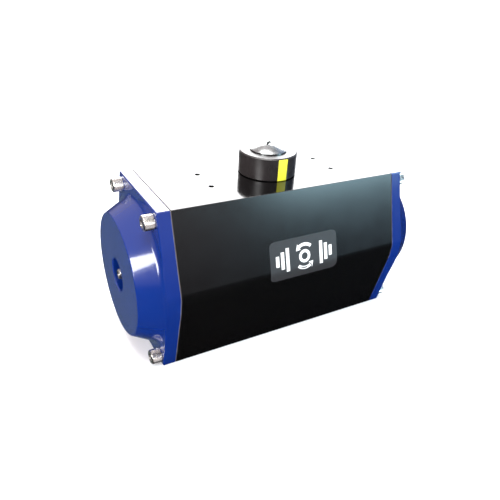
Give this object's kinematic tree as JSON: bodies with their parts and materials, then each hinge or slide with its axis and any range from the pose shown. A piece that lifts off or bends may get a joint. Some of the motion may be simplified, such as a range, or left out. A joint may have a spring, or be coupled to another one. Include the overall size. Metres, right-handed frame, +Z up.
{
  "type": "rack and pinion pneumatic actuator",
  "caption": "Double-acting rack-and-pinion quarter-turn pneumatic actuator with domed end caps, opposed pistons, a star-drive pinion and a round position indicator.",
  "frame": {"origin": "centre of the bottom mounting face, on the pinion axis", "axes": "+X along the cylinder, +Y out of the air ports, +Z up the pinion towards the indicator"},
  "size_m": [0.297, 0.1428, 0.1784],
  "materials": {
    "anodised_body": "satin black hard anodised",
    "blue_paint": "gloss blue paint on die-cast aluminium",
    "stainless": "plain stainless",
    "spring_steel": "phosphated spring steel",
    "pinion_steel": "nickel plated steel",
    "cast_aluminium": "die cast",
    "seal_rubber": "matte nitrile rubber",
    "bearing_plastic": "acetal",
    "black_plastic": "satin moulded",
    "yellow_plastic": "smooth moulded"
  },
  "bodies": {
    "housing": {"body": "anodised_body", "left_end_cap": "blue_paint", "right_end_cap": "blue_paint", "left_gasket": "seal_rubber", "right_gasket": "seal_rubber", "left_cap_screws": "stainless", "right_cap_screws": "stainless", "left_stop_screw": "stainless", "right_stop_screw": "stainless", "left_stop_o_ring": "seal_rubber", "right_stop_o_ring": "seal_rubber", "pinion_top_bush": "bearing_plastic", "pinion_bottom_bush": "bearing_plastic", "thrust_washer": "stainless"},
    "drive": {"pinion": "pinion_steel", "pinion_top_o_ring": "seal_rubber", "pinion_bottom_o_ring": "seal_rubber", "circlip": "spring_steel", "indicator": "black_plastic", "indicator_stripes": "yellow_plastic", "indicator_screw": "stainless"},
    "right_ram": {"right_piston": "cast_aluminium", "right_rack_pad": "bearing_plastic", "right_guide_ring": "bearing_plastic", "right_piston_o_ring": "seal_rubber"},
    "left_ram": {"left_piston": "cast_aluminium", "left_rack_pad": "bearing_plastic", "left_guide_ring": "bearing_plastic", "left_piston_o_ring": "seal_rubber"}
  },
  "joints": [
    {"name": "pinion_turn", "type": "hinge", "parent": "housing", "child": "drive", "pos_m": [0, 0, 0], "axis": [0, 0, 1], "range_deg": [0, 90]},
    {"name": "right_piston_slide", "type": "slide", "parent": "housing", "child": "right_ram", "axis": [1, 0, 0], "range_m": [0, 0.0354]},
    {"name": "left_piston_slide", "type": "slide", "parent": "housing", "child": "left_ram", "axis": [-1, 0, 0], "range_m": [0, 0.0354]}
  ],
  "couplings": [
    {"joint": "right_piston_slide", "follows": "pinion_turn", "m_per_rad": 0.0225},
    {"joint": "left_piston_slide", "follows": "pinion_turn", "m_per_rad": 0.0225}
  ]
}
